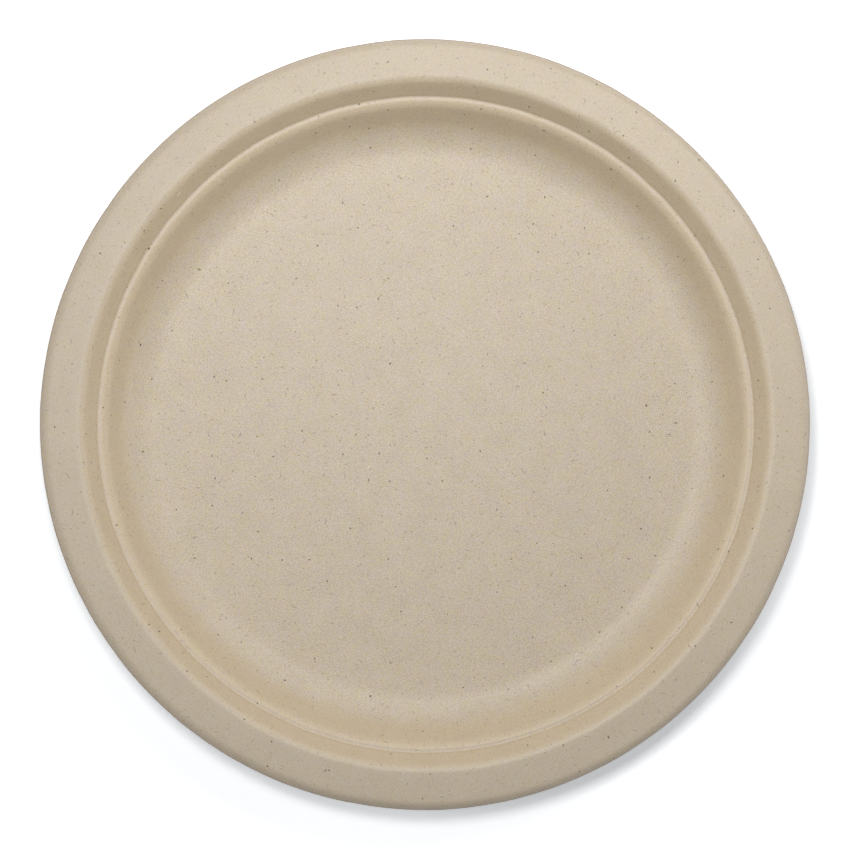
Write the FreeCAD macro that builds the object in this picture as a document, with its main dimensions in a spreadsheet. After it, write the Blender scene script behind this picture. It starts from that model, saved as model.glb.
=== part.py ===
import FreeCAD, Part
import math
import os
import Sketcher

# A round dinner plate, hot-pressed in one piece from plant-fibre pulp.
# It is one thin shell of even thickness. A flat floor runs out through a wide cove into a
# sloping wall, which rises to a narrow stacking step. A short upper wall leads on to a broad
# rim, whose outer edge rolls over and turns down to a square cut.
# The origin is the centre of the flat underside, and +Z points up out of the well.

PLATE = "plate"

# Millimetres, and degrees from the horizontal. Radii are those of the upper side.
DIMENSIONS = {
    "plate_diameter": 254.0,
    "plate_height": 19.0,  # resting face to the highest line of the rim
    "wall_thickness": 0.8,
    "wall_slope": 53.0,  # both walls
    "floor_cove": 15.2,
    "step_drop": 6.2,  # highest line of the rim to the top of the step
    "step_flat": 0.8,  # level run between the two bends of the step
    "step_shoulder": 4.2,
    "step_crease": 0.5,
    "rim_width": 13.85,  # edge to the sharp corner that the rim fillet rounds off
    "rim_fall": 6.0,
    "rim_fillet": 3.6,
    "edge_drop": 3.3,  # highest line of the rim to the tip of the edge
    "edge_slope": 58.0,
    "edge_roll": 3.7,
}

# The five bends of the section, from the axis out to the edge.
BENDS = ("floor_cove", "step_shoulder", "step_crease", "rim_fillet", "edge_roll")

# Ends of a sketch line or arc, as the sketcher numbers them, and the sketch's own origin.
START, END, CENTRE = 1, 2, 3
ORIGIN = (-1, START)


def make_sheet(doc):
    """The driving dimensions, one to a row, as plain numbers with aliases."""
    sheet = doc.addObject("Spreadsheet::Sheet", "sizes")
    for row, (name, value) in enumerate(DIMENSIONS.items(), start=1):
        sheet.set(f"A{row}", name)
        sheet.set(f"B{row}", str(value))
        sheet.setAlias(f"B{row}", name)
    doc.recompute()
    return sheet


class Run:
    """A straight run of the section: a point on it, its way outwards and its lower side."""

    def __init__(self, point, angle):
        self.point = point
        self.angle = angle
        self.along = FreeCAD.Vector(math.cos(angle), math.sin(angle), 0)
        self.below = FreeCAD.Vector(math.sin(angle), -math.cos(angle), 0)

    def meet(self, other):
        """The sharp corner where two runs cross."""
        gap = other.point - self.point
        reach = -gap.dot(other.below) / math.sin(other.angle - self.angle)
        return self.point - self.along * reach


class Bend:
    """The arc that rounds off the corner of two runs, hollow or crowned as seen from above."""

    def __init__(self, first, second, radius):
        turn = second.angle - first.angle
        start = first.meet(second) - first.along * radius * math.tan(abs(turn) / 2)
        self.radius = radius
        self.hollow = turn > 0
        self.side = -1 if self.hollow else 1
        self.centre = start + first.below * radius * self.side
        self.spokes = (first.below * -self.side, second.below * -self.side)

    def radius_at(self, depth):
        """The radius of the same bend at a depth below the upper side."""
        return self.radius - self.side * depth

    def ends_at(self, depth):
        return [self.centre + spoke * self.radius_at(depth) for spoke in self.spokes]


def lay_out(sheet):
    """The six straight runs of the upper side, the five bends between them, and the edge's tip."""
    slope = math.radians(sheet.wall_slope)
    fall = -math.radians(sheet.rim_fall)
    radius = sheet.plate_diameter / 2
    height = sheet.plate_height

    # The rim fillet's highest point is at the plate's height, which sets how low its corner lies.
    tangent = sheet.rim_fillet * math.tan((slope - fall) / 2)
    corner_drop = sheet.rim_fillet * (1 - math.cos(slope)) - tangent * math.sin(slope)
    rim_corner = FreeCAD.Vector(radius - sheet.rim_width, height - corner_drop, 0)
    tip = FreeCAD.Vector(radius, height - sheet.edge_drop, 0)

    floor = Run(FreeCAD.Vector(0, sheet.wall_thickness, 0), 0)
    step = Run(FreeCAD.Vector(0, height - sheet.step_drop, 0), 0)
    upper_wall = Run(rim_corner, slope)
    tangents = (sheet.step_shoulder + sheet.step_crease) * math.tan(slope / 2)
    step_width = FreeCAD.Vector(sheet.step_flat + tangents, 0, 0)
    well_wall = Run(step.meet(upper_wall) - step_width, slope)
    rim = Run(rim_corner, fall)
    skirt = Run(tip, -math.radians(sheet.edge_slope))

    runs = [floor, well_wall, step, upper_wall, rim, skirt]
    bends = [
        Bend(first, second, getattr(sheet, name))
        for name, first, second in zip(BENDS, runs, runs[1:])
    ]
    return runs, bends, tip


def draw_side(sketch, bends, start, end, depth):
    """Draws one side of the shell as a smooth chain of lines and arcs, and returns their numbers."""
    lines = []
    arcs = []
    for bend in bends:
        first, second = bend.ends_at(depth)
        lines.append(sketch.addGeometry(Part.LineSegment(start, first)))
        circle = Part.Circle(bend.centre, FreeCAD.Vector(0, 0, 1), bend.radius_at(depth))
        ends = (first, second) if bend.hollow else (second, first)
        angles = [circle.parameter(point) for point in ends]
        arcs.append(sketch.addGeometry(Part.ArcOfCircle(circle, *angles)))
        start = second
    lines.append(sketch.addGeometry(Part.LineSegment(start, end)))

    for bend, arc, before, after in zip(bends, arcs, lines, lines[1:]):
        entry, leave = (START, END) if bend.hollow else (END, START)
        sketch.addConstraint(
            [
                Sketcher.Constraint("Tangent", before, END, arc, entry),
                Sketcher.Constraint("Tangent", arc, leave, after, START),
            ]
        )
    return lines, arcs


def bind(sketch, name, constraint, expression):
    """Adds a named dimension and ties it to the sheet."""
    index = sketch.addConstraint(constraint)
    sketch.renameConstraint(index, name)
    sketch.setExpression(f"Constraints.{name}", expression)


def close_section(sketch, upper, under, top, tip, tip_under):
    """Closes the section along the axis, and with a square cut at the edge."""
    axis = sketch.addGeometry(Part.LineSegment(FreeCAD.Vector(0, 0, 0), top))
    cut = sketch.addGeometry(Part.LineSegment(tip, tip_under))
    sketch.addConstraint(
        [
            Sketcher.Constraint("Coincident", axis, START, *ORIGIN),
            Sketcher.Constraint("Coincident", axis, END, upper[0], START),
            Sketcher.Constraint("Coincident", under[0], START, *ORIGIN),
            Sketcher.Constraint("Vertical", axis),
            Sketcher.Constraint("Coincident", cut, START, upper[-1], END),
            Sketcher.Constraint("Coincident", cut, END, under[-1], END),
            Sketcher.Constraint("Perpendicular", cut, upper[-1]),
            Sketcher.Constraint("Parallel", under[-1], upper[-1]),
        ]
    )
    thickness = Sketcher.Constraint("Distance", axis, top.y)
    bind(sketch, "floor_thickness", thickness, "sizes.wall_thickness * 1 mm")


def set_radii(sketch, bends, upper_arcs, under_arcs, thickness):
    """Ties the bends' radii: each pair shares one centre, one wall thickness apart."""
    for name, bend, above, beneath in zip(BENDS, bends, upper_arcs, under_arcs):
        sign = "+" if bend.hollow else "-"
        sketch.addConstraint(Sketcher.Constraint("Coincident", above, CENTRE, beneath, CENTRE))
        bind(
            sketch,
            f"{name}_above",
            Sketcher.Constraint("Radius", above, bend.radius),
            f"sizes.{name} * 1 mm",
        )
        bind(
            sketch,
            f"{name}_beneath",
            Sketcher.Constraint("Radius", beneath, bend.radius_at(thickness)),
            f"(sizes.{name} {sign} sizes.wall_thickness) * 1 mm",
        )


def set_slopes(sketch, runs, upper):
    """Ties the slopes: the floor and the step lie level, and the two walls are parallel."""
    floor, well_wall, step, upper_wall, rim, skirt = upper
    sketch.addConstraint(
        [
            Sketcher.Constraint("Horizontal", floor),
            Sketcher.Constraint("Horizontal", step),
            Sketcher.Constraint("Parallel", well_wall, upper_wall),
        ]
    )
    for name, line, run, expression in (
        ("wall_angle", upper_wall, runs[3], "sizes.wall_slope * 1 deg"),
        ("rim_angle", rim, runs[4], "-sizes.rim_fall * 1 deg"),
        ("skirt_angle", skirt, runs[5], "-sizes.edge_slope * 1 deg"),
    ):
        bind(sketch, name, Sketcher.Constraint("Angle", line, run.angle), expression)


def set_places(sketch, runs, bends, tip, upper, upper_arcs):
    """Ties the levels and widths of the step, the rim and the edge."""
    step, upper_wall, rim, skirt = upper[2:]
    corner = runs[3].meet(runs[4])
    corner_point = sketch.addGeometry(Part.Point(corner), True)
    for line in (upper_wall, rim):
        sketch.addConstraint(Sketcher.Constraint("PointOnObject", corner_point, START, line))

    step_start = bends[1].ends_at(0)[1]
    step_end = bends[2].ends_at(0)[0]
    fillet_height = bends[3].centre.y
    for name, constraint, expression in (
        (
            "step_run",
            Sketcher.Constraint("Distance", step, step_end.x - step_start.x),
            "sizes.step_flat",
        ),
        (
            "step_level",
            Sketcher.Constraint("DistanceY", *ORIGIN, step, START, step_start.y),
            "sizes.plate_height - sizes.step_drop",
        ),
        (
            "rim_level",
            Sketcher.Constraint("DistanceY", *ORIGIN, upper_arcs[3], CENTRE, fillet_height),
            "sizes.plate_height - sizes.rim_fillet",
        ),
        (
            "rim_place",
            Sketcher.Constraint("DistanceX", *ORIGIN, corner_point, START, corner.x),
            "sizes.plate_diameter / 2 - sizes.rim_width",
        ),
        (
            "edge_place",
            Sketcher.Constraint("DistanceX", *ORIGIN, skirt, END, tip.x),
            "sizes.plate_diameter / 2",
        ),
        (
            "edge_level",
            Sketcher.Constraint("DistanceY", *ORIGIN, skirt, END, tip.y),
            "sizes.plate_height - sizes.edge_drop",
        ),
    ):
        bind(sketch, name, constraint, f"({expression}) * 1 mm")


def draw_section(sketch, sheet):
    """The shell's half section, with every size tied to the sheet."""
    runs, bends, tip = lay_out(sheet)
    thickness = sheet.wall_thickness
    top = FreeCAD.Vector(0, thickness, 0)
    foot = FreeCAD.Vector(0, 0, 0)
    tip_under = tip + runs[-1].below * thickness
    upper, upper_arcs = draw_side(sketch, bends, top, tip, 0)
    under, under_arcs = draw_side(sketch, bends, foot, tip_under, thickness)
    close_section(sketch, upper, under, top, tip, tip_under)
    set_radii(sketch, bends, upper_arcs, under_arcs, thickness)
    set_slopes(sketch, runs, upper)
    set_places(sketch, runs, bends, tip, upper, upper_arcs)


def make_plate(doc, sheet):
    """The shell: its half section turned once round the plate's axis."""
    body = doc.addObject("PartDesign::Body", PLATE)
    body.Label = PLATE
    upright = next(plane for plane in body.Origin.OriginFeatures if plane.Role == "XZ_Plane")
    section = body.newObject("Sketcher::SketchObject", "half_section")
    section.AttachmentSupport = (upright, [""])
    section.MapMode = "FlatFace"
    draw_section(section, sheet)
    doc.recompute()
    if not section.FullyConstrained:
        raise RuntimeError("the half section has a size that nothing sets")
    shell = body.newObject("PartDesign::Revolution", "pressed_shell")
    shell.Profile = section
    shell.ReferenceAxis = (section, ["V_Axis"])
    shell.Angle = 360
    body.Tip = shell
    doc.recompute()
    return body


def check(doc, parts):
    """Stops the build if an object failed, or a part isn't one valid solid."""
    for item in doc.Objects:
        if {"Invalid", "Error"} & set(item.State):
            raise RuntimeError(f"{item.Name} failed: {item.State}")
    for part in parts:
        if part.Shape.isNull() or not part.Shape.isValid() or len(part.Shape.Solids) != 1:
            raise RuntimeError(f"{part.Label} is not one valid solid")


def main():
    doc = FreeCAD.newDocument("moulded_plate")
    sheet = make_sheet(doc)
    parts = [make_plate(doc, sheet)]
    check(doc, parts)
    os.makedirs("parts", exist_ok=True)
    for part in parts:
        part.Shape.exportStep(os.path.join("parts", f"{part.Label}.step"))
        box = part.Shape.optimalBoundingBox()
        size = f"{box.XLength:.2f} x {box.YLength:.2f} x {box.ZLength:.2f} mm"
        print(f"{part.Label}: {size}, {part.Shape.Volume / 1000:.2f} cm3")


main()
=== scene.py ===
import math

import bpy
import numpy as np
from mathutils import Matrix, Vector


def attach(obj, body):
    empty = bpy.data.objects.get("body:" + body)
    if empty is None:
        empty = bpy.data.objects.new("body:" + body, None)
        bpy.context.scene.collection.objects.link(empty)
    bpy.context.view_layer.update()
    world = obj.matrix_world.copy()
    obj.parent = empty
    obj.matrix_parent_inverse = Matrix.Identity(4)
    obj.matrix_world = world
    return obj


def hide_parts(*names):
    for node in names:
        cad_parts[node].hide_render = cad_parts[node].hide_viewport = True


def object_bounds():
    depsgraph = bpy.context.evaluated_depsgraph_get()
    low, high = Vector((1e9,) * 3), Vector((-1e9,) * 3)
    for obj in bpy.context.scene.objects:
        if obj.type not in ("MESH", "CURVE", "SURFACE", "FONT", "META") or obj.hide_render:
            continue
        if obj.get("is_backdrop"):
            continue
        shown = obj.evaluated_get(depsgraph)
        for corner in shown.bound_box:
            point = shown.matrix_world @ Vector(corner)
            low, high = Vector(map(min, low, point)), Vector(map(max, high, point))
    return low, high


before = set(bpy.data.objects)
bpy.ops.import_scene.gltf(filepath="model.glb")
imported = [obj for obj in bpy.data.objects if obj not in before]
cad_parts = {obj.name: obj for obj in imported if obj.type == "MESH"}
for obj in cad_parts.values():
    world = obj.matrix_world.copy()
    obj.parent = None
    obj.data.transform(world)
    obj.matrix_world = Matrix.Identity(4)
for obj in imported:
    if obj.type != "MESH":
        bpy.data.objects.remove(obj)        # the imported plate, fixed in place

mm = 0.001
cadLow, cadHigh = (np.array(corner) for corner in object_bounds())
print("frame loaded")


def linear(hexColour):
    # sRGB hex to linear light: a straight part near black, then a power curve
    parts = np.array([int(hexColour[at:at + 2], 16) / 255 for at in (0, 2, 4)])
    bright = ((parts + 0.055) / 1.055) ** 2.4
    return (*np.where(parts > 0.04045, bright, parts / 12.92).tolist(), 1.0)


def addNode(tree, kind, settings=None, inputs=None):
    # one node with its settings; each input is a value, or a socket to link from
    node = tree.nodes.new(kind)
    for name, value in (settings or {}).items():
        setattr(node, name, value)
    for name, value in (inputs or {}).items():
        if isinstance(value, bpy.types.NodeSocket):
            tree.links.new(value, node.inputs[name])
        else:
            node.inputs[name].default_value = value
    return node


def newTree(name):
    # an empty material, its node tree and its output
    material = bpy.data.materials.new(name)
    material.use_nodes = True
    material.node_tree.nodes.clear()
    return material, material.node_tree


# Camera

view = {
    "height": 1215 * mm,       # a long lens well above the plate, looking straight down
    "edgeLevel": 14.8 * mm,    # how high the outline's tip lies
    "edgeRadius": 127 * mm,
    "edgePixels": 385.1,       # that radius in the picture
    "picturePixels": 850,
    "offCentre": (0.06 * mm, -0.16 * mm),  # the plate lies a pixel left of and above the middle
    "sensor": 36.0,
}


def placeCamera():
    # lens = sensor width times distance, over the width that the picture covers at the edge
    metresPerPixel = view["edgeRadius"] / view["edgePixels"]
    covered = view["picturePixels"] * metresPerPixel
    data = bpy.data.cameras.new("camera")
    data.sensor_width = view["sensor"]
    data.lens = view["sensor"] * (view["height"] - view["edgeLevel"]) / covered
    camera = bpy.data.objects.new("camera", data)
    camera.location = (*view["offCentre"], view["height"])
    bpy.context.scene.collection.objects.link(camera)
    bpy.context.scene.camera = camera


placeCamera()
print("camera placed")


# Plate form

plateForm = {
    "thickness": 0.8 * mm,
    "wallSlope": 53.0,         # degrees, both walls
    "floorCove": 15.0 * mm,    # radii of the upper side
    "rimFillet": 3.6 * mm,
    "edgeRoll": 3.7 * mm,
    "stepDrop": 6.2 * mm,      # highest line of the rim to the top of the step
    # the soft start of the cove, and the runs of the step from wall to wall: the slope in
    # degrees that each ends at, and its width
    "floorEase": (4, 2.8 * mm),
    "step": ((27, 1.8 * mm), (15, 0.66 * mm), (0, 0.4 * mm), (0, 0.5 * mm), (53, 0.72 * mm)),
    "rimWidth": 13.85 * mm,    # edge to the sharp corner that the rim fillet rounds off
    "rimFall": 6.0,            # degrees, outwards
    "edgeDrop": 3.3 * mm,      # highest line of the rim to the tip of the edge
    "edgeSlope": 58.0,
    "cutRounding": 0.14 * mm,  # how far the pressed edge is rounded off across its thickness
    "roundSteps": 640,         # points round the plate, along each run and across the cut edge
    "runSteps": (7, 2, 11, 3, 7, 3, 3, 2, 5, 3, 8, 4, 7, 2),
    "cutSteps": 8,
}

# Small faults of the pressing, all drawn from one seed
pressing = {
    "seed": 11,
    "floorBow": 0.8 * mm,      # the floor springs up a little in the middle as it dries
    "trimOffset": (0.44 * mm, 0.25 * mm),  # the edge is trimmed a little off the form's centre
    "lean": (0.028, 0.035),    # and the well lies off the rim's centre by this share of its depth
    "cutOval": 0.2 * mm,       # the cut edge is a little longer one way than the other
    "rimLift": 0.16 * mm,      # slow rise and fall of the rim
    "stepWander": 0.05 * mm,   # the step's line wanders in and out
    "rimWander": 0.08 * mm,    # and so does the rim fillet's
    "cutWander": 0.02 * mm,    # and the cut edge's
    # fewest and most waves round the plate of the rim's lift and of each line
    "liftTurns": (2, 5),
    "stepTurns": (9, 70),
    "rimTurns": (7, 50),
    "cutTurns": (6, 90),
    "stepReach": 2.6 * mm,     # how far from the crease the step's wander dies away
    "rimMiddle": 1.5 * mm,     # how far up its fillet the rim's wander is widest
    "rimReach": 2.4 * mm,
    "unevenness": 0.03 * mm,   # shallow waves over the wall and rim
    "unevenLengths": (5 * mm, 32 * mm),
    "unevenCount": 28,
    "wallUneven": 0.35,        # their height on the wall, as a share of that on the rim
}


def runAcross(start, end, width):
    # Length and rise of a run w wide whose slope turns evenly from a to b: w (b - a) / (sin b -
    # sin a) and w (cos a - cos b) / (sin b - sin a). One that stays at a is w / cos a long and
    # rises w tan a.
    if start == end:
        return width / math.cos(start), width * math.tan(start)
    share = width / (math.sin(end) - math.sin(start))
    return share * (end - start), share * (math.cos(start) - math.cos(end))


def sectionRuns():
    # the upper side from axis to edge as lengths and turns
    f = plateForm
    slope, fall, edge = (math.radians(f[name]) for name in ("wallSlope", "rimFall", "edgeSlope"))
    radius = cadHigh[0]
    height = cadHigh[2]
    ease = math.radians(f["floorEase"][0])
    easeLength, easeRise = runAcross(0.0, ease, f["floorEase"][1])
    cove = f["floorCove"] * (slope - ease)
    coveRise = f["floorCove"] * (math.cos(ease) - math.cos(slope))
    stepLengths, stepTurns, stepRises = [], [], []
    at = slope
    for end, width in f["step"]:
        to = math.radians(end)
        length, rise = runAcross(at, to, width)
        stepLengths.append(length)
        stepRises.append(rise)
        stepTurns.append(to - at)
        at = to

    # each straight run is what the level or width left over by the bends gives
    well = height - f["stepDrop"] - f["thickness"]
    wellWall = (well - easeRise - coveRise - sum(stepRises[:3])) / math.sin(slope)
    filletRise = f["rimFillet"] * (1 - math.cos(slope))
    upperWall = (f["stepDrop"] - sum(stepRises[3:]) - filletRise) / math.sin(slope)
    tangent = f["rimFillet"] * math.tan((slope + fall) / 2)
    crown = radius - f["rimWidth"] - tangent * math.cos(slope) + f["rimFillet"] * math.sin(slope)
    floor = crown - f["rimFillet"] * math.sin(slope) - (wellWall + upperWall) * math.cos(slope)
    floor -= sum(width for _, width in f["step"])
    floor -= f["floorCove"] * (math.sin(slope) - math.sin(ease)) + f["floorEase"][1]

    # from the crown to the tip, two straight runs close the gap left by two bends
    across = radius - crown - f["rimFillet"] * math.sin(fall)
    across -= f["edgeRoll"] * (math.sin(edge) - math.sin(fall))
    down = f["edgeDrop"] - f["rimFillet"] * (1 - math.cos(fall))
    down -= f["edgeRoll"] * (math.cos(fall) - math.cos(edge))
    ways = [[math.cos(fall), math.cos(edge)], [math.sin(fall), math.sin(edge)]]
    rim, skirt = np.linalg.solve(ways, [across, down])

    lengths = [floor, easeLength, cove, wellWall, *stepLengths, upperWall,
               f["rimFillet"] * (slope + fall), rim, f["edgeRoll"] * (edge - fall),
               skirt - f["cutRounding"]]
    turns = [0, ease, slope - ease, 0, *stepTurns, 0, -slope - fall, 0, fall - edge, 0]
    return np.array(lengths), np.array(turns)


def walkSection():
    # The heading holds along a straight run and turns evenly through a bend. A step's place
    # is the running sum of chords, each along the mean of its two headings.
    lengths, turns = sectionRuns()
    counts = np.array(plateForm["runSteps"])
    step = np.repeat(lengths / counts, counts)
    turn = np.repeat(turns / counts, counts)
    heading = np.concatenate([[0], np.cumsum(turn)])
    chord = step * np.sinc(turn / 2 / np.pi)
    along = (heading[:-1] + heading[1:]) / 2
    out = np.concatenate([[0], np.cumsum(chord * np.cos(along))])
    up = np.concatenate([[0], np.cumsum(chord * np.sin(along))]) + plateForm["thickness"]
    return out, up, heading, np.concatenate([[0], np.cumsum(step)])


def slowWave(angle, rng, low, high):
    # a wave round the plate: a sum of cosines of low to high whole turns, of about unit height
    turns = np.arange(low, high + 1)
    size = rng.normal(size=len(turns)) / np.sqrt(len(turns) / 2)
    start = rng.uniform(0, 2 * np.pi, len(turns))
    return (size * np.cos(angle[:, None] * turns + start)).sum(1)


def crossedWaves(x, y, rng, shortest, longest, count):
    # plane waves of random heading and start, the longer ones higher, of about unit height
    length = np.geomspace(shortest, longest, count)
    heading = rng.uniform(0, 2 * np.pi, count)
    start = rng.uniform(0, 2 * np.pi, count)
    size = length / np.sqrt((length ** 2).sum() / 2)
    total = np.zeros_like(x)
    for one in range(count):
        along = x * math.cos(heading[one]) + y * math.sin(heading[one])
        total += size[one] * np.sin(2 * np.pi * along / length[one] + start[one])
    return total


def smooth(low, high, value):
    # 0 below low, 1 above high, and an even slope at both ends
    share = np.clip((value - low) / (high - low), 0, 1)
    return share * share * (3 - 2 * share)


def formOffset(level, side):
    # how far the form lies off the cut edge's centre, in x or y: the trim's offset less the
    # lean times the depth below the rim
    return pressing["trimOffset"][side] - pressing["lean"][side] * (cadHigh[2] - level)


def shellFaces(rings, turns):
    # Quads from each ring of points to the next, the last round joined to the first, and a fan
    # of triangles to each pole: the two points that follow the last ring.
    here = np.arange(turns)
    after = (here + 1) % turns
    start = np.arange(rings - 1)[:, None] * turns
    quads = np.stack([start + here, start + turns + here, start + turns + after, start + after], -1)
    top, bottom, last = rings * turns, rings * turns + 1, (rings - 1) * turns
    fans = np.concatenate([
        np.stack([np.full(turns, top), here, after], -1),
        np.stack([last + here, np.full(turns, bottom), last + after], -1),
    ])
    return quads.reshape(-1, 4).tolist() + fans.tolist()


def makePlate():
    # A closed ring profile (upper side out, rounded cut edge, underside back in) turned round
    # the axis. Each point is the section's point, plus its normal times a sum of small waves,
    # and the whole is then moved off the cut edge's centre.
    out, up, heading, walked = walkSection()
    thickness, rounding = plateForm["thickness"], plateForm["cutRounding"]
    share = np.arange(1, plateForm["cutSteps"]) / plateForm["cutSteps"]
    bulge = rounding * (1 - np.abs(2 * share - 1) ** 3) ** (1 / 3)

    # every ring: its place on the upper side, its depth below it, and its push past the edge
    ring = np.concatenate([np.arange(1, len(out)), np.full(len(share), len(out) - 1),
                           np.arange(len(out) - 1, 0, -1)])
    depth = np.concatenate([np.zeros(len(out) - 1), share * thickness,
                            np.full(len(out) - 1, thickness)])
    push = np.concatenate([np.zeros(len(out) - 1), bulge, np.zeros(len(out) - 1)])

    angle = np.arange(plateForm["roundSteps"]) * 2 * np.pi / plateForm["roundSteps"]
    rng = np.random.default_rng(pressing["seed"])
    rimWave = slowWave(angle, rng, *pressing["liftTurns"])
    stepWave = slowWave(angle, rng, *pressing["stepTurns"])
    rimLine = slowWave(angle, rng, *pressing["rimTurns"])
    cutWave = slowWave(angle, rng, *pressing["cutTurns"])

    # how much of each fault a ring takes, from how far out along the section it lies
    ends = np.cumsum(sectionRuns()[0])
    s = walked[ring][:, None]
    wallShare = smooth(ends[1], ends[3], s)
    rimShare = smooth(ends[8], ends[11], s)
    edgeShare = smooth(ends[11], ends[13], s)
    stepShare = np.exp(-((s - ends[7]) / pressing["stepReach"]) ** 2)
    filletShare = np.exp(-((s - ends[9] - pressing["rimMiddle"]) / pressing["rimReach"]) ** 2)
    x = s * np.cos(angle)
    y = s * np.sin(angle)
    waves = crossedWaves(x, y, rng, *pressing["unevenLengths"], pressing["unevenCount"])
    onWall = pressing["wallUneven"]
    uneven = waves * pressing["unevenness"] * wallShare * (onWall + (1 - onWall) * rimShare)

    normalOut = -np.sin(heading[ring])[:, None]
    normalUp = np.cos(heading[ring])[:, None]
    lift = uneven - depth[:, None]
    r = out[ring][:, None] + normalOut * lift
    z = up[ring][:, None] + normalUp * lift
    z = z + pressing["floorBow"] * np.clip(1 - (s / ends[1]) ** 2, 0, 1)
    r = r + stepShare * stepWave * pressing["stepWander"] + filletShare * rimLine * pressing["rimWander"]
    z = z + rimShare * rimWave * pressing["rimLift"]
    reach = push[:, None] + edgeShare * (cutWave * pressing["cutWander"]
                                         - pressing["cutOval"] * np.cos(2 * angle))
    r = r + reach * np.cos(heading[ring])[:, None]
    z = z + reach * np.sin(heading[ring])[:, None]

    shiftX, shiftY = (formOffset(z, side) * (1 - edgeShare) for side in (0, 1))
    spin = np.stack([r * np.cos(angle) + shiftX, r * np.sin(angle) + shiftY, z], -1)
    # the material reads each point's place on the flat sheet, and its depth
    flat = np.stack([x, y, np.broadcast_to(depth[:, None], x.shape)], -1)
    bow = pressing["floorBow"]
    middle = np.array([[formOffset(level, 0), formOffset(level, 1), level]
                       for level in (bow + thickness, bow)])
    points = np.concatenate([spin.reshape(-1, 3), middle])
    pulp = np.concatenate([flat.reshape(-1, 3), [[0, 0, 0], [0, 0, thickness]]])

    mesh = bpy.data.meshes.new("plateShell")
    mesh.from_pydata(points, [], shellFaces(*spin.shape[:2]))
    mesh.polygons.foreach_set("use_smooth", np.ones(len(mesh.polygons), bool))
    sheet = mesh.attributes.new("pulp", "FLOAT_VECTOR", "POINT")
    sheet.data.foreach_set("vector", pulp.astype(np.float32).ravel())
    mesh.update()
    plate = bpy.data.objects.new("plateShell", mesh)
    bpy.context.scene.collection.objects.link(plate)
    return plate


# Pressed pulp

pulpLook = {
    "body": "C4B6A1",          # unbleached straw pulp
    "golden": "A58450",
    "pale": "E4DACA",
    "speck": "452C17",
    # painted shade: the colour of the crease's dark line and of the darker turned-down edge
    "paintedShade": "A3876C",
    "roughness": 0.45,
    "sheen": 0.4,              # specular level; 0.5 is that of a closed IOR 1.5 surface
    # size in mm, how far light and dark vary, and how far the tint does
    "mottles": ((0.42, 0.42, 0.11), (0.95, 0.12, 0.16), (2.0, 0.035, 0.15), (4.5, 0.036, 0.10),
                (10.0, 0.06, 0.06)),
    # the first layer's shift in metres both ways and turn, and what each next one adds
    "firstLayer": (0.13, 0.29, 0.4),
    "nextLayer": (0.07, 0.0, 0.65),
    "tintShares": (0.0, 0.35, 1.0),  # how much of the tint red, green and blue take
    "rimCalm": 0.4,            # how much evener it is off the floor, where it was pressed harder
    "wallBounceTint": (1.05, 1.02, 0.95),  # painted bounce light: the walls are tinted warmer, as light bounced off the well's own beige makes them
    "bitSizes": (0.5, 1.3),    # smallest and largest of each kind, as shares of its size
    "placedCore": 0.4,         # a placed bit shows fully within this share of its size
    "undersideShift": (0.31, 0.17, 0.0),
    "edgeShadeBand": 1.2 * mm,      # how far in from the tip shade is painted on the turned-down edge, and how strongly
    "edgeShadeShown": 0.8,
    # painted shade in the crease: a dark line where the groove's shade falls
    "creaseShadeOut": 0.3 * mm,     # the dark line of the crease lies this far up the upper wall,
    "creaseShadeFull": 0.1 * mm,    # shows most this near to its middle,
    "creaseShadeNone": 0.55 * mm,   # not at all from here,
    "creaseShadeShown": 0.18,       # and at most this strongly
    "grainHeight": 0.035 * mm,
    "screenPitch": 1.1 * mm,   # mesh of the forming screen, faint on the underside
    "screenHeight": 0.006 * mm,
}

# Bits in the pulp: cell size, share of cells that hold one, half length and half width, all in
# mm, how much it curves, how soft its outline is, how strongly it shows, how high it stands in
# mm and its colour
pulpBits = {
    "fineFibres": (2.3, 0.55, 0.70, 0.15, 0.6, 0.8, 0.45, 0.0, "golden"),
    "shortFibres": (4.7, 0.45, 1.10, 0.13, 0.3, 0.7, 0.38, 0.0, "golden"),
    "raisedFibres": (5.6, 0.55, 0.65, 0.20, 0.6, 0.9, 0.35, 0.18, "pale"),
    "fineSpecks": (3.3, 0.17, 0.36, 0.15, 0.3, 0.7, 0.6, 0.0, "speck"),
    "huskSpecks": (8.5, 0.38, 0.42, 0.25, 0.0, 0.5, 0.8, 0.0, "speck"),
    "darkFibres": (15.0, 0.40, 1.30, 0.17, 0.25, 0.6, 0.45, 0.0, "speck"),
}

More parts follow.
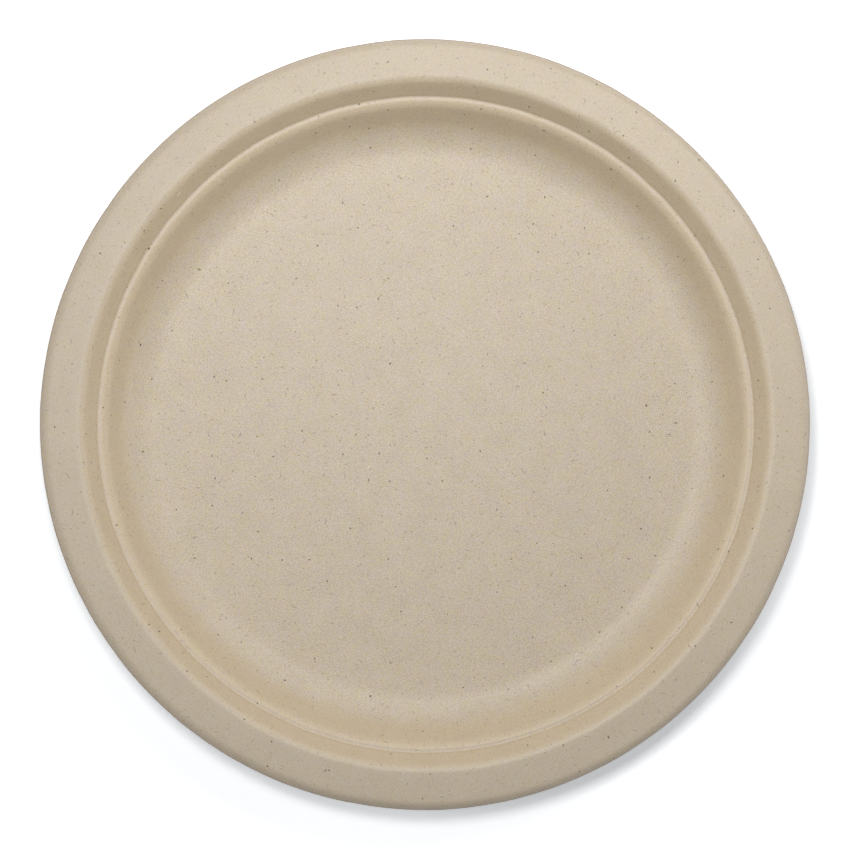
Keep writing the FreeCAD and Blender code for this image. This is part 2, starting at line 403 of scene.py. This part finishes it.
# The largest husks and fibres: place in plan, half length and half width in mm, turn in
# degrees, how strongly it shows and its colour
placedBits = (
    (83.7, 0.5, 0.75, 0.34, 7, 0.7, "speck"),
    (73.9, 6.3, 0.55, 0.42, 112, 0.95, "speck"),
    (-18.2, -90.6, 0.55, 0.42, 90, 0.9, "speck"),
    (-11.6, 20.3, 0.52, 0.42, 20, 0.9, "speck"),
    (-35.8, 59.6, 0.5, 0.42, 43, 0.8, "speck"),
    (-94.6, 26.5, 0.5, 0.42, 104, 0.95, "speck"),
    (60.4, -102.8, 0.6, 0.42, 100, 0.75, "speck"),
    (20.6, 116.7, 0.48, 0.4, 0, 0.75, "speck"),
    (-61.7, -3.6, 1.4, 0.28, 53, 0.45, "speck"),
    (51.1, 56.9, 1.1, 0.28, 114, 0.45, "speck"),
    (40.0, -3.0, 1.1, 0.28, 105, 0.45, "speck"),
    (-79.5, 43.2, 2.2, 0.28, 116, 0.35, "speck"),
    (-91.1, 58.1, 0.6, 0.42, 60, 0.95, "speck"),
    (-75.3, 51.7, 0.9, 0.28, -35, 0.7, "speck"),
    (-87.5, -68.1, 0.62, 0.42, 0, 0.8, "speck"),
    (61.6, 84.5, 0.75, 0.35, 10, 0.75, "speck"),
    (90.3, 87.1, 0.48, 0.42, 0, 0.8, "speck"),
    (56.6, 111.9, 0.5, 0.42, 90, 0.75, "speck"),
    (39.4, 97.2, 0.85, 0.32, -10, 0.7, "speck"),
    (90.1, -59.6, 1.2, 0.28, 115, 0.5, "speck"),
    (39.4, 10.6, 0.42, 0.36, 90, 0.75, "speck"),
    (-80.9, 76.0, 1.3, 0.35, 45, 0.8, "pale"),
    (-18.5, -14.1, 0.9, 0.3, 45, 0.6, "pale"),
)


def mottle(tree, sheet, number, before):
    # Before + even x noise + tint x three noises, none for red and most for blue, so that it
    # swings between golden and grey. Each layer is turned and shifted its own way.
    size, even, tint = pulpLook["mottles"][number]
    x, y, turn = (first + more * number
                  for first, more in zip(pulpLook["firstLayer"], pulpLook["nextLayer"]))
    spread = addNode(tree, "ShaderNodeMapping", None,
                     {"Vector": sheet, "Location": (x, y, 0.0), "Rotation": (0.0, 0.0, turn)})
    noise = addNode(tree, "ShaderNodeTexNoise", {"noise_dimensions": "2D"},
                    {"Vector": spread.outputs["Vector"], "Scale": 1 / (size * mm), "Detail": 0.0})
    tinted = addNode(tree, "ShaderNodeVectorMath", {"operation": "MULTIPLY_ADD"},
                     {0: noise.outputs["Color"], 1: [share * tint for share in pulpLook["tintShares"]],
                      2: before})
    both = addNode(tree, "ShaderNodeVectorMath", {"operation": "MULTIPLY_ADD"},
                   {0: noise.outputs["Fac"], 1: (even, even, even), 2: tinted.outputs["Vector"]})
    return both.outputs["Vector"], noise.outputs["Fac"]


def scatter(tree, sheet, cell, share, halfLength, halfWidth, curve, softness):
    # One bit about each chosen cell's point, turned by chance: with u along it and v across it,
    # it lies where (u / length)^2 + ((v - curve u^2) / width)^2 is under 1.
    cells = addNode(tree, "ShaderNodeTexVoronoi", {"voronoi_dimensions": "2D"},
                    {"Vector": sheet, "Scale": 1 / (cell * mm), "Randomness": 1.0})
    chance = addNode(tree, "ShaderNodeSeparateColor", None, {"Color": cells.outputs["Color"]})
    turn = addNode(tree, "ShaderNodeMath", {"operation": "MULTIPLY"},
                   {0: chance.outputs["Red"], 1: 2 * math.pi})
    turned = addNode(tree, "ShaderNodeVectorRotate", {"rotation_type": "Z_AXIS"},
                     {"Vector": sheet, "Center": cells.outputs["Position"],
                      "Angle": turn.outputs["Value"]})
    away = addNode(tree, "ShaderNodeVectorMath", {"operation": "SUBTRACT"},
                   {0: turned.outputs["Vector"], 1: cells.outputs["Position"]})
    # its size also goes by chance, and divided by that u and v are in mm
    least, most = pulpLook["bitSizes"]
    size = addNode(tree, "ShaderNodeMapRange", None,
                   {"Value": chance.outputs["Green"], "To Min": least * mm, "To Max": most * mm})
    scaled = addNode(tree, "ShaderNodeVectorMath", {"operation": "DIVIDE"},
                     {0: away.outputs["Vector"], 1: size.outputs["Result"]})
    parts = addNode(tree, "ShaderNodeSeparateXYZ", None, {"Vector": scaled.outputs["Vector"]})
    squared = addNode(tree, "ShaderNodeMath", {"operation": "MULTIPLY"},
                      {0: parts.outputs["X"], 1: parts.outputs["X"]})
    bent = addNode(tree, "ShaderNodeMath", {"operation": "MULTIPLY_ADD"},
                   {0: squared.outputs["Value"], 1: -curve, 2: parts.outputs["Y"]})
    pair = addNode(tree, "ShaderNodeCombineXYZ", None,
                   {"X": parts.outputs["X"], "Y": bent.outputs["Value"]})
    ends = addNode(tree, "ShaderNodeVectorMath", {"operation": "DIVIDE"},
                   {0: pair.outputs["Vector"], 1: (halfLength, halfWidth, 1.0)})
    far = addNode(tree, "ShaderNodeVectorMath", {"operation": "LENGTH"}, {0: ends.outputs["Vector"]})
    inside = addNode(tree, "ShaderNodeMapRange", None,
                     {"Value": far.outputs["Value"], "From Min": 1.0, "From Max": 1.0 - softness})
    chosen = addNode(tree, "ShaderNodeMath", {"operation": "LESS_THAN"},
                     {0: chance.outputs["Blue"], 1: share})
    shown = addNode(tree, "ShaderNodeMath", {"operation": "MULTIPLY"},
                    {0: inside.outputs["Result"], 1: chosen.outputs["Value"]})
    return shown.outputs["Value"]


def placedBit(tree, sheet, x, y, halfLength, halfWidth, turn, strength):
    # An ellipse at a place in plan, moved out to where that place lies on the flat sheet:
    # full strength in its core, fading to nothing at the outline. The sheet's point dotted
    # with each axis over its half size gives u and v, where the ellipse is a unit circle.
    out, up, _, walked = walkSection()
    level = np.interp(math.hypot(x, y) * mm, out, up)
    offX, offY = (formOffset(level, side) / mm for side in (0, 1))
    radius = math.hypot(x - offX, y - offY)
    stretch = float(np.interp(radius * mm, out, walked)) / radius
    centre = np.array([x - offX, y - offY, 0.0]) * stretch
    along = np.array([math.cos(math.radians(turn)), math.sin(math.radians(turn)), 0.0])
    across = np.array([-along[1], along[0], 0.0]) / (halfWidth * mm)
    along = along / (halfLength * mm)
    u, v = (addNode(tree, "ShaderNodeVectorMath", {"operation": "DOT_PRODUCT"}, {0: sheet, 1: axis})
            for axis in (along, across))
    pair = addNode(tree, "ShaderNodeCombineXYZ", None,
                   {"X": u.outputs["Value"], "Y": v.outputs["Value"]})
    far = addNode(tree, "ShaderNodeVectorMath", {"operation": "DISTANCE"},
                  {0: pair.outputs["Vector"], 1: (centre @ along, centre @ across, 0.0)})
    inside = addNode(tree, "ShaderNodeMapRange", None,
                     {"Value": far.outputs["Value"], "From Min": 1.0,
                      "From Max": pulpLook["placedCore"], "To Max": strength})
    return inside.outputs["Result"]


def paintBits(tree, sheet, coloured, height):
    # Each kind of bit is mixed over the colour by its outline times its strength, and a raised
    # one adds its outline times its height. The placed ones follow, the strongest at each point.
    # A mix of colours takes them at its sockets 6 and 7, and gives the result at 2.
    for *shape, strength, stands, paint in pulpBits.values():
        mask = scatter(tree, sheet, *shape)
        share = addNode(tree, "ShaderNodeMath", {"operation": "MULTIPLY"}, {0: mask, 1: strength})
        coloured = addNode(tree, "ShaderNodeMix", {"data_type": "RGBA"},
                           {"Factor": share.outputs["Value"], 6: coloured,
                            7: linear(pulpLook[paint])}).outputs[2]
        if stands:
            height = addNode(tree, "ShaderNodeMath", {"operation": "MULTIPLY_ADD"},
                             {0: mask, 1: stands * mm, 2: height}).outputs["Value"]
    for paint in ("speck", "pale"):
        most = 0.0
        for *shape, colour in placedBits:
            if colour == paint:
                most = addNode(tree, "ShaderNodeMath", {"operation": "MAXIMUM"},
                               {0: most, 1: placedBit(tree, sheet, *shape)}).outputs["Value"]
        coloured = addNode(tree, "ShaderNodeMix", {"data_type": "RGBA"},
                           {"Factor": most, 6: coloured, 7: linear(pulpLook[paint])}).outputs[2]
    return coloured, height


def pressedPulp():
    # Straw and cane pulp, hot-pressed between metal tools: a matt beige with a soft sheen
    # where the tool polished it, a fine grain, faint clouds and fibres, and sparse dark husk.
    material, tree = newTree("pressedPulp")
    look = pulpLook
    place = addNode(tree, "ShaderNodeAttribute", {"attribute_name": "pulp"})
    parts = addNode(tree, "ShaderNodeSeparateXYZ", None, {"Vector": place.outputs["Vector"]})
    # the underside takes another part of the pattern, so no bit shows on both sides
    under = addNode(tree, "ShaderNodeMath", {"operation": "GREATER_THAN"},
                    {0: parts.outputs["Z"], 1: plateForm["thickness"] / 2})
    sheet = addNode(tree, "ShaderNodeVectorMath", {"operation": "MULTIPLY_ADD"},
                    {0: under.outputs["Value"], 1: look["undersideShift"],
                     2: place.outputs["Vector"]})
    sheet = sheet.outputs["Vector"]

    # how far out along the sheet, and ramps over it: each rises evenly from 0 to its last
    # number between the two places
    flatPlace = addNode(tree, "ShaderNodeVectorMath", {"operation": "MULTIPLY"},
                        {0: place.outputs["Vector"], 1: (1.0, 1.0, 0.0)})
    reach = addNode(tree, "ShaderNodeVectorMath", {"operation": "LENGTH"},
                    {0: flatPlace.outputs["Vector"]}).outputs["Value"]
    ends = np.cumsum(sectionRuns()[0]).tolist()
    ramps = {
        "offFloor": (ends[1], ends[3], look["rimCalm"]),
        "onWall": ((ends[1] + ends[2]) / 2, ends[2], 1.0),
        "onRim": (ends[9], ends[10], 1.0),
        "onFlat": (ends[5], ends[6], 1.0),
        "pastFlat": (ends[7], ends[8], 1.0),
        # painted shade on the turned-down edge
        "edgeShade": (ends[-1] - look["edgeShadeBand"], ends[-1], look["edgeShadeShown"]),
    }
    ramp = {name: addNode(tree, "ShaderNodeMapRange", {"interpolation_type": "SMOOTHSTEP"},
                          {"Value": reach, "From Min": low, "From Max": high,
                           "To Max": top}).outputs["Result"]
            for name, (low, high, top) in ramps.items()}

    # The mottle varies about 1, as each noise does about a half. Off the floor it is mixed
    # towards 1: a mix of vectors takes them at its sockets 4 and 5, and gives the result at 1.
    evens = sum(even for _, even, _ in look["mottles"])
    tints = sum(tint for *_, tint in look["mottles"])
    shade = tuple(1 - (evens + share * tints) / 2 for share in look["tintShares"])
    shade, grain = mottle(tree, sheet, 0, shade)
    for number in range(1, len(look["mottles"])):
        shade, _ = mottle(tree, sheet, number, shade)
    shade = addNode(tree, "ShaderNodeMix", {"data_type": "VECTOR"},
                    {"Factor": ramp["offFloor"], 4: shade, 5: (1.0, 1.0, 1.0)}).outputs[1]
    coloured = addNode(tree, "ShaderNodeVectorMath", {"operation": "MULTIPLY"},
                       {0: shade, 1: linear(look["body"])[:3]}).outputs["Vector"]
    height = addNode(tree, "ShaderNodeMath", {"operation": "MULTIPLY"},
                     {0: grain, 1: look["grainHeight"]}).outputs["Value"]
    coloured, height = paintBits(tree, sheet, coloured, height)

    # painted bounce light: the walls are tinted warmer, all but the step's flat between them
    onFlat = addNode(tree, "ShaderNodeMath", {"operation": "SUBTRACT"},
                     {0: ramp["onFlat"], 1: ramp["pastFlat"]})
    off = addNode(tree, "ShaderNodeMath", {"operation": "ADD"},
                  {0: onFlat.outputs["Value"], 1: ramp["onRim"]})
    bounceShare = addNode(tree, "ShaderNodeMath", {"operation": "SUBTRACT", "use_clamp": True},
                    {0: ramp["onWall"], 1: off.outputs["Value"]})
    bounceTint = addNode(tree, "ShaderNodeMix", {"data_type": "VECTOR"},
                     {"Factor": bounceShare.outputs["Value"], 4: (1.0, 1.0, 1.0), 5: look["wallBounceTint"]})
    coloured = addNode(tree, "ShaderNodeVectorMath", {"operation": "MULTIPLY"},
                       {0: coloured, 1: bounceTint.outputs[1]}).outputs["Vector"]

    # painted shade: the turned-down edge is darker towards its tip, and so is the crease at the foot
    # of the upper wall, where shade falls
    off = addNode(tree, "ShaderNodeMath", {"operation": "SUBTRACT"},
                  {0: reach, 1: ends[8] + look["creaseShadeOut"]})
    near = addNode(tree, "ShaderNodeMath", {"operation": "ABSOLUTE"}, {0: off.outputs["Value"]})
    creaseShade = addNode(tree, "ShaderNodeMapRange", {"interpolation_type": "SMOOTHSTEP"},
                     {"Value": near.outputs["Value"], "From Min": look["creaseShadeNone"],
                      "From Max": look["creaseShadeFull"], "To Max": look["creaseShadeShown"]})
    shadeShare = addNode(tree, "ShaderNodeMath", {"operation": "MAXIMUM"},
                     {0: ramp["edgeShade"], 1: creaseShade.outputs["Result"]})
    coloured = addNode(tree, "ShaderNodeMix", {"data_type": "RGBA"},
                       {"Factor": shadeShare.outputs["Value"], 6: coloured,
                        7: linear(look["paintedShade"])}).outputs[2]

    relief = addNode(tree, "ShaderNodeBump", None, {"Height": height, "Distance": 1.0})
    # forming screen: two crossed waves, whose bands lie 0.314 m apart at a scale of 1
    bandsApart = 0.314
    scale = bandsApart / look["screenPitch"]
    one = addNode(tree, "ShaderNodeTexWave", {"bands_direction": "X"}, {"Vector": sheet, "Scale": scale})
    two = addNode(tree, "ShaderNodeTexWave", {"bands_direction": "Y"}, {"Vector": sheet, "Scale": scale})
    crossed = addNode(tree, "ShaderNodeMath", {"operation": "MULTIPLY"},
                      {0: one.outputs["Fac"], 1: two.outputs["Fac"]})
    below = addNode(tree, "ShaderNodeMath", {"operation": "MULTIPLY"},
                    {0: crossed.outputs["Value"], 1: under.outputs["Value"]})
    mesh = addNode(tree, "ShaderNodeBump", None,
                   {"Height": below.outputs["Value"], "Distance": look["screenHeight"],
                    "Normal": relief.outputs["Normal"]})
    shader = addNode(tree, "ShaderNodeBsdfPrincipled", None,
                     {"Base Color": coloured, "Roughness": look["roughness"],
                      "Specular IOR Level": look["sheen"], "Normal": mesh.outputs["Normal"]})
    addNode(tree, "ShaderNodeOutputMaterial", None, {"Surface": shader.outputs["BSDF"]})
    return material


plate = makePlate()
plate.data.materials.append(pressedPulp())
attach(plate, "root")
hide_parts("plate")
print("plate made:", len(plate.data.polygons), "faces")


# Studio

studio = {
    "floorSide": 4.0,
    "floorLevel": -0.02 * mm,        # a hair below the plate, so that the two never share a level
    "floor": "FAFAFA",
    "floorGlow": "D4DAE0",           # its own light, and how strong that is
    "glowStrength": 0.524,
    "farFloor": (0.16, 1.0, 2.5),    # where that starts and ends growing, and how many times it grows
    "world": 0.177,
    # where each soft box hangs, how wide it is both ways, and its power
    "lights": {
        "overhead": ((-0.083, 0.144, 0.783), (0.192, 0.192), 2.711),
        "above": ((0.0, 0.321, 0.383), (0.12, 0.12), 0.406),
        "corner": ((0.227, 0.227, 0.383), (0.12, 0.12), 0.475),
        "left": ((-0.918, 0.0, 1.311), (0.384, 0.384), 3.881),
        "low": ((1.565, 0.0, 0.333), (0.384, 0.384), 3.492),
    },
}


def backdropPaint():
    # Matt white card. Seen straight or in a reflection it also shows a little of its own
    # light, so the bare floor reads white and keeps the plate's shadow. It shows more of it
    # far from the plate, where the lamps don't reach.
    material, tree = newTree("backdropPaint")
    path = addNode(tree, "ShaderNodeLightPath")
    sees = addNode(tree, "ShaderNodeMath", {"operation": "MAXIMUM"},
                   {0: path.outputs["Is Camera Ray"], 1: path.outputs["Is Glossy Ray"]})
    shown = addNode(tree, "ShaderNodeMath", {"operation": "MAXIMUM"},
                    {0: sees.outputs["Value"], 1: path.outputs["Is Transmission Ray"]})
    card = addNode(tree, "ShaderNodeBsdfDiffuse", None, {"Color": linear(studio["floor"])})
    place = addNode(tree, "ShaderNodeTexCoord")
    away = addNode(tree, "ShaderNodeVectorMath", {"operation": "LENGTH"}, {0: place.outputs["Object"]})
    near, far, most = studio["farFloor"]
    more = addNode(tree, "ShaderNodeMapRange", None,
                   {"Value": away.outputs["Value"], "From Min": near, "From Max": far,
                    "To Min": 1.0, "To Max": most})
    strength = addNode(tree, "ShaderNodeMath", {"operation": "MULTIPLY"},
                       {0: shown.outputs["Value"], 1: more.outputs["Result"]})
    own = [part * studio["glowStrength"] for part in linear(studio["floorGlow"])[:3]]
    glow = addNode(tree, "ShaderNodeEmission", None,
                   {"Color": (*own, 1.0), "Strength": strength.outputs["Value"]})
    both = addNode(tree, "ShaderNodeAddShader", None, {0: card.outputs["BSDF"], 1: glow.outputs["Emission"]})
    addNode(tree, "ShaderNodeOutputMaterial", None, {"Surface": both.outputs["Shader"]})
    return material


def makeFloor():
    # one square face under the plate
    half = studio["floorSide"] / 2
    mesh = bpy.data.meshes.new("floor")
    mesh.from_pydata([(-half, -half, 0), (half, -half, 0), (half, half, 0), (-half, half, 0)], [],
                     [(0, 1, 2, 3)])
    mesh.materials.append(backdropPaint())
    floor = bpy.data.objects.new("floor", mesh)
    floor.location.z = studio["floorLevel"]
    bpy.context.scene.collection.objects.link(floor)
    floor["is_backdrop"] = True


def makeLights():
    # soft boxes, each turned to face the plate's centre
    for name, (place, (wide, deep), power) in studio["lights"].items():
        data = bpy.data.lights.new(name, "AREA")
        data.shape = "RECTANGLE"
        data.size = wide
        data.size_y = deep
        data.energy = power
        lamp = bpy.data.objects.new(name, data)
        lamp.location = place
        lamp.rotation_euler = lamp.location.to_track_quat("Z", "Y").to_euler()
        bpy.context.scene.collection.objects.link(lamp)


def makeWorld():
    # even light from all round, and plain white to the camera
    world = bpy.data.worlds.new("studioAir")
    world.use_nodes = True
    tree = world.node_tree
    tree.nodes.clear()
    path = addNode(tree, "ShaderNodeLightPath")
    strength = addNode(tree, "ShaderNodeMapRange", None,
                       {"Value": path.outputs["Is Camera Ray"], "To Min": studio["world"], "To Max": 1.0})
    air = addNode(tree, "ShaderNodeBackground", None, {"Strength": strength.outputs["Result"]})
    addNode(tree, "ShaderNodeOutputWorld", None, {"Surface": air.outputs["Background"]})
    bpy.context.scene.world = world


makeFloor()
makeLights()
makeWorld()
bpy.context.scene.view_settings.view_transform = "Standard"
print("studio set")
